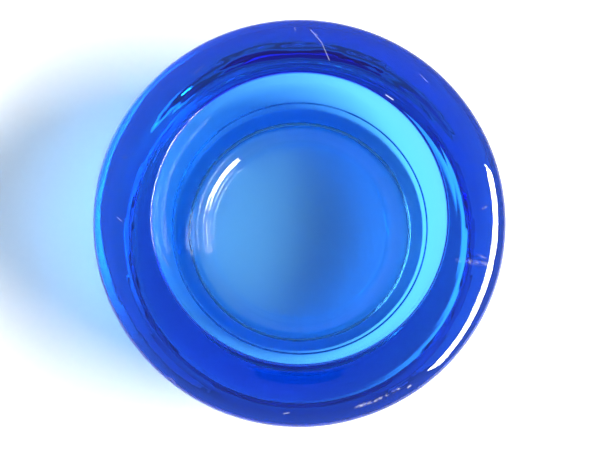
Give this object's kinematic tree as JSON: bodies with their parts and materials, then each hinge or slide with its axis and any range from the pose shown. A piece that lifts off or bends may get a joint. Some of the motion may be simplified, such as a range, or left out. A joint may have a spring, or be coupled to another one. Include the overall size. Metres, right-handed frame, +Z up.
{
  "type": "cup glass insulator",
  "caption": "Round cup-shaped insulator of cobalt-blue pressed glass, with a broad crowned rim, a cup floor ringed by three low steps that holds a castor or a leg, and a ring foot.",
  "frame": {"origin": "on the cup's axis, in the plane of the foot ring that it stands on", "axes": "+Z up, along the cup's axis, out of its mouth; X and Y are any two level directions, because the piece is round"},
  "size_m": [0.09, 0.09, 0.029],
  "materials": {
    "cobalt_glass": "clear, fire-polished, deep cobalt blue"
  },
  "bodies": {
    "root": {"glass_cup": "cobalt_glass"}
  },
  "joints": []
}
